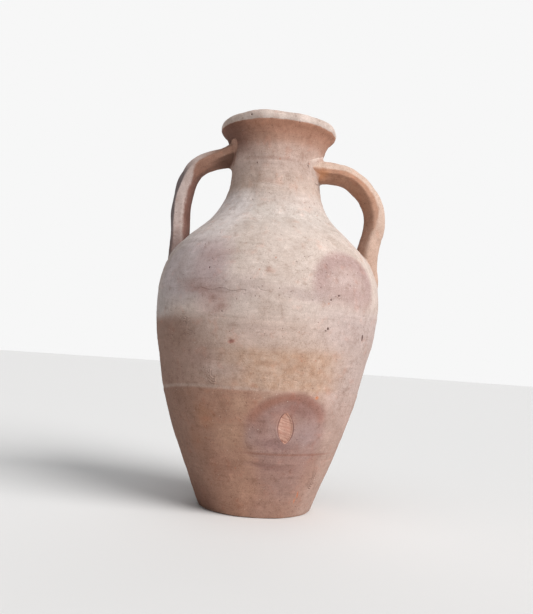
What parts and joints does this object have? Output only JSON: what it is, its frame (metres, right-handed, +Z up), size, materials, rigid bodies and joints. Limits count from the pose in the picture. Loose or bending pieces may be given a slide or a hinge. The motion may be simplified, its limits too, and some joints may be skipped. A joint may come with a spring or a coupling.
{
  "type": "amphora",
  "caption": "Tall unglazed clay jar on a flat foot, with a rounded shoulder, a narrow open neck with a thick rolled lip, and a strap handle on each side from neck to shoulder.",
  "frame": {"origin": "centre of the flat underside of the foot, on the jar's axis", "axes": "+Z up along the jar's axis; the handles lie roughly along X, the left one on -X; -Y is the front, and the handles' upper ends turn a little towards it"},
  "size_m": [0.2927, 0.288, 0.5],
  "materials": {
    "fired_clay_body": "matte unglazed wheel-thrown earthenware, bare inside and out, pale cream to pinkish tan with purple-grey kiln marks and pinholes",
    "fired_clay_handle": "matte unglazed pulled clay, slightly smoother than the body, pinkish tan, browner underneath",
    "fired_clay_luting": "matte unglazed clay smeared with a finger round the handle roots"
  },
  "bodies": {
    "root": {"base_disc": "fired_clay_body", "lower_body": "fired_clay_body", "upper_body": "fired_clay_body", "neck": "fired_clay_body", "rim": "fired_clay_body", "handle_left": "fired_clay_handle", "handle_right": "fired_clay_handle", "left_neck_pad": "fired_clay_luting", "left_shoulder_pad": "fired_clay_luting", "right_neck_pad": "fired_clay_luting", "right_shoulder_pad": "fired_clay_luting"}
  },
  "joints": []
}
